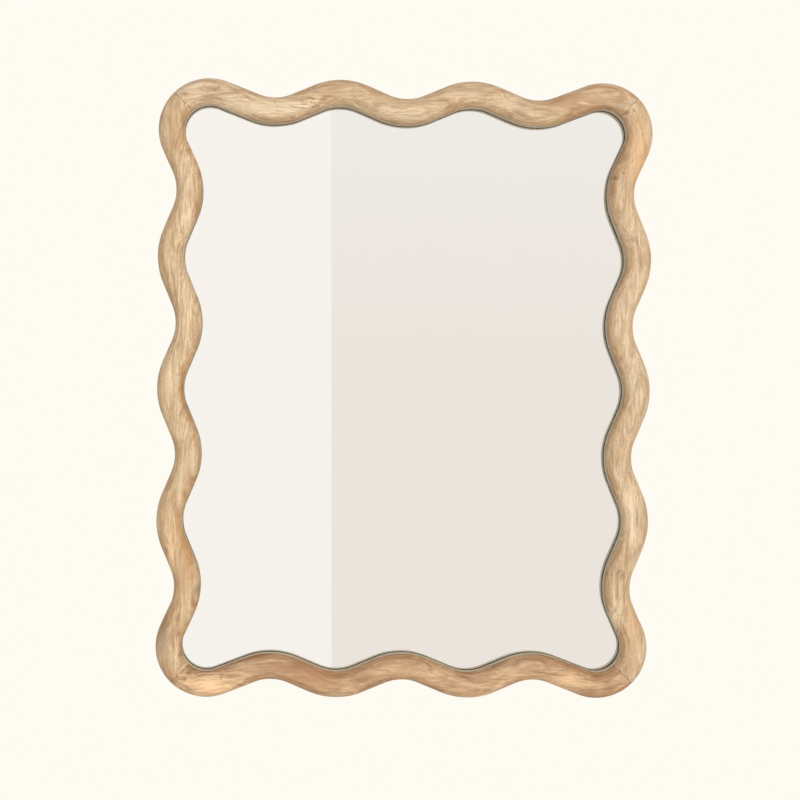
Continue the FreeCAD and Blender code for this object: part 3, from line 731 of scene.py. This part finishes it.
def pan_head_screw(x, z, turn):
    """A screw with a cross recess: a turned blank, with the thread rolled on as a helix."""
    made = bmesh.new()
    turned(made, HEAD_LINE + ((CORE_RADIUS, 0), (CORE_RADIUS, CORE_END), (0, -SCREW_LENGTH)), 32)
    blank = as_object("screw_blank", made)
    for quarter in (0, 90):
        made = bmesh.new()
        bmesh.ops.create_cone(made, cap_ends=True, segments=4, radius1=RECESS_TIP, radius2=RECESS_MOUTH,
                              depth=RECESS_DEPTH)
        spin_about(made, 45, "Z")
        bmesh.ops.scale(made, vec=(1, RECESS_NARROW, 1), verts=made.verts)
        spin_about(made, quarter, "Z")
        spin_about(made, -90, "X")
        bmesh.ops.translate(made, verts=made.verts, vec=(0, HEAD_HEIGHT - RECESS_SUNK, 0))
        cut_away(blank, as_object("driver", made))
    made = bmesh.new()
    made.from_mesh(blank.data)
    bpy.data.objects.remove(blank)
    ridge = [made.verts.new((radius, up + THREAD_START, 0)) for radius, up in
             ((THREAD_ROOT, HALF_THREAD), (THREAD_RADIUS, 0), (THREAD_ROOT, -HALF_THREAD))]
    ridge_edges = [made.edges.new(pair) for pair in zip(ridge, ridge[1:] + ridge[:1])]
    swept = bmesh.ops.spin(made, geom=ridge_edges, cent=(0, 0, 0), axis=(0, 1, 0),
                           angle=2 * pi * THREAD_TURNS, dvec=(0, THREAD_PITCH / THREAD_STEPS, 0),
                           steps=int(THREAD_TURNS * THREAD_STEPS))
    bmesh.ops.edgeloop_fill(made, edges=ridge_edges)
    bmesh.ops.edgeloop_fill(made, edges=[e for e in swept["geom_last"] if isinstance(e, bmesh.types.BMEdge)])
    bmesh.ops.recalc_face_normals(made, faces=made.faces)
    spin_about(made, turn, "Y")
    bmesh.ops.translate(made, verts=made.verts, vec=(x, SEAT, z))
    return made


nickel = steel("nickel_plated_steel", "cfc9bd", 0.24, 0.06)
zinc = steel("zinc_plated_screws", "c6c4bc", 0.30, 0.06)
for side, hanger_x, turns in (("left", -HANGER_X, (20, 65)), ("right", HANGER_X, (50, 8))):
    strap = folded_strap(side + "_hanger_strap_folded", hanger_x)
    fit(strap, nickel, "frame", "plated_steel", side + "_hanger_strap", smooth_below=40)
    ring = d_ring(side + "_hanger_ring_bent", hanger_x)
    fit(ring, nickel, side + "_ring", "plated_steel", side + "_hanger_ring", smooth_below=60)
    pair = bmesh.new()
    for hole, turn in zip(HOLE_PLACES, turns):
        add_to(pair, pan_head_screw(hanger_x, HANGER_Z + hole, turn))
    screws = as_object(side + "_hanger_screws_turned", pair)
    fit(screws, zinc, "frame", "screw_steel", side + "_hanger_screws")


# ---- The bumpers --------------------------------------------------------------------------------
# Two soft domes of grey polyurethane, stuck to the back of the lower corners, which keep the frame
# level and off the paint.

BUMPER_SHOULDER, BUMPER_TOP, BUMPER_EDGE = 0.0030, 0.55, 0.0009

rubber, rubber_tree, rubber_shader = new_material("moulded_polyurethane")
rubber_place = add_node(rubber_tree, "ShaderNodeTexCoord").outputs["Object"]
rubber_grain = add_node(rubber_tree, "ShaderNodeTexNoise", {
    "Vector": rubber_place, "Scale": 1500, "Detail": 2})
rubber_bump = add_node(rubber_tree, "ShaderNodeBump", {
    "Height": rubber_grain.outputs["Fac"], "Strength": 0.2, "Distance": 0.00005})
rubber_tree.links.new(rubber_bump.outputs[0], rubber_shader.inputs["Normal"])
rubber_shader.inputs["Base Color"].default_value = linear("6b6863")
rubber_shader.inputs["Roughness"].default_value = 0.5
for side in ("left", "right"):
    low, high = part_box(side + "_wall_bumper")
    radius = (high.x - low.x) / 2
    dome = bmesh.new()
    line = ((0, 0), (radius, 0), (radius, BUMPER_SHOULDER), (radius * BUMPER_TOP, high.y), (0, high.y))
    turned(dome, line, 48)
    rims = [e for e in dome.edges if len(e.link_faces) == 2 and e.calc_face_angle() > radians(25)
            and e.verts[0].co.y > 0.001 and abs(e.verts[0].co.y - e.verts[1].co.y) < 1e-6]
    bmesh.ops.bevel(dome, geom=rims, offset=BUMPER_EDGE, offset_type="OFFSET", segments=4, profile=0.5,
                    affect="EDGES", material=-1)
    bmesh.ops.translate(dome, verts=dome.verts, vec=((low.x + high.x) / 2, 0, (low.z + high.z) / 2))
    bumper = as_object(side + "_wall_bumper_moulded", dome)
    fit(bumper, rubber, "frame", "bumper_rubber", side + "_wall_bumper")


# ---- Studio -------------------------------------------------------------------------------------
# A pale round floor well below the mirror, a cream surround, one large soft lamp in front and one
# behind. Two pale cards stand far behind the camera, where only shiny and clear surfaces see them.

CREAM = "fefbf2"
FLOOR_Z = -1.05
FLOOR_RADIUS = 1.35
CARD_Y, CARD_MIDDLE_Z = -4.6, 0.3
CARD_EDGE_X = 0.1268
CARD_LEAN = -0.53
CARD_LOW, CARD_HIGH = 0.1, 1.3
CARD_REACH, CARD_HEIGHT = 7.0, 9.0
LAMP_SIZE = 1.6
KEY_PLACE, KEY_POWER = (0.7, -3.1, 0.5), 66
BACK_PLACE, BACK_POWER = (-1.6, 2.8, 1.4), 40
SHOT_DISTANCE, SHOT_WIDTH = 1.5, 0.9974
SENSOR_WIDTH = 36
CAMERA_PLACE = (-0.16, -SHOT_DISTANCE, 0.0086)
CAMERA_TURN = (89.16, -0.45, -1.1)
CAMERA_SHIFT = 0.1276

floor_paint, floor_tree, floor_shader = new_material("pale_matt_floor")
floor_shader.inputs["Base Color"].default_value = linear("f2eee6")
floor_shader.inputs["Roughness"].default_value = 0.9
disc = bmesh.new()
bmesh.ops.create_circle(disc, cap_ends=True, segments=96, radius=FLOOR_RADIUS)
bmesh.ops.translate(disc, verts=disc.verts, vec=(0, 0, FLOOR_Z))
floor = as_object("studio_floor", disc)
floor.data.materials.append(floor_paint)

for name, low_x, high_x, low_colour, high_colour in (
        ("studio_card_left", -CARD_REACH, CARD_EDGE_X, "fef9f6", "fef9f6"),
        ("studio_card_right", CARD_EDGE_X, CARD_REACH, "f2ebe6", "f6f2ef")):
    card_paint, card_tree, _ = new_material(name + "_paint")
    card_tree.nodes.clear()
    card_place = add_node(card_tree, "ShaderNodeTexCoord").outputs["Object"]
    card_split = add_node(card_tree, "ShaderNodeSeparateXYZ", {0: card_place})
    card_height = add_node(card_tree, "ShaderNodeMapRange", {
        "Value": card_split.outputs[2], "From Min": CARD_LOW, "From Max": CARD_HIGH})
    card_colour = add_node(card_tree, "ShaderNodeMix", {
        0: card_height.outputs[0], 6: linear(low_colour), 7: linear(high_colour)}, data_type="RGBA")
    glow = add_node(card_tree, "ShaderNodeEmission", {"Color": card_colour.outputs[2], "Strength": 1.0})
    add_node(card_tree, "ShaderNodeOutputMaterial", {"Surface": glow.outputs[0]})
    flat = bmesh.new()
    bmesh.ops.create_grid(flat, x_segments=1, y_segments=1, size=0.5)
    bmesh.ops.scale(flat, vec=(high_x - low_x, CARD_HEIGHT, 1), verts=flat.verts)
    spin_about(flat, 90, "X")
    bmesh.ops.translate(flat, verts=flat.verts, vec=((low_x + high_x) / 2, CARD_Y, CARD_MIDDLE_Z))
    bmesh.ops.rotate(flat, verts=flat.verts, cent=(CARD_EDGE_X, CARD_Y, 0),
                     matrix=Matrix.Rotation(radians(CARD_LEAN), 3, "Y"))
    card = as_object(name, flat)
    card.data.materials.append(card_paint)
    card.visible_camera = False
    card.visible_diffuse = False
    card.visible_shadow = False

world = bpy.data.worlds.new("studio_surround")
bpy.context.scene.world = world
world.use_nodes = True
sky = world.node_tree
sky.nodes.clear()
rays = add_node(sky, "ShaderNodeLightPath")
seen = add_node(sky, "ShaderNodeMath", {0: rays.outputs["Is Camera Ray"], 1: rays.outputs["Is Glossy Ray"]},
                operation="MAXIMUM")
seen = add_node(sky, "ShaderNodeMath", {0: seen.outputs[0], 1: rays.outputs["Is Transmission Ray"]},
                operation="MAXIMUM")
fill = add_node(sky, "ShaderNodeBackground", {"Color": linear("fffaf2"), "Strength": 0.5})
surround = add_node(sky, "ShaderNodeBackground", {"Color": linear(CREAM), "Strength": 1.0})
mixed = add_node(sky, "ShaderNodeMixShader", {0: seen.outputs[0], 1: fill.outputs[0], 2: surround.outputs[0]})
add_node(sky, "ShaderNodeOutputWorld", {"Surface": mixed.outputs[0]})


def softbox(name, place, power):
    """A square lamp that faces the middle of the mirror and isn't seen in it."""
    lamp = bpy.data.lights.new(name, "AREA")
    lamp.shape = "SQUARE"
    lamp.size = LAMP_SIZE
    lamp.energy = power
    stand = bpy.data.objects.new(name, lamp)
    stand.location = place
    stand.rotation_euler = (-Vector(place)).to_track_quat("-Z", "Y").to_euler()
    bpy.context.scene.collection.objects.link(stand)
    stand.visible_glossy = False
    stand.visible_transmission = False


softbox("key_softbox", KEY_PLACE, KEY_POWER)
softbox("back_softbox", BACK_PLACE, BACK_POWER)

camera_data = bpy.data.cameras.new("photograph_view")
camera_data.sensor_width = SENSOR_WIDTH
camera_data.lens = SENSOR_WIDTH * SHOT_DISTANCE / SHOT_WIDTH
camera_data.shift_x = CAMERA_SHIFT
camera = bpy.data.objects.new("photograph_view", camera_data)
camera.location = CAMERA_PLACE
camera.rotation_euler = [radians(turn) for turn in CAMERA_TURN]
bpy.context.scene.collection.objects.link(camera)
bpy.context.scene.camera = camera

bpy.context.scene.view_settings.view_transform = "Standard"
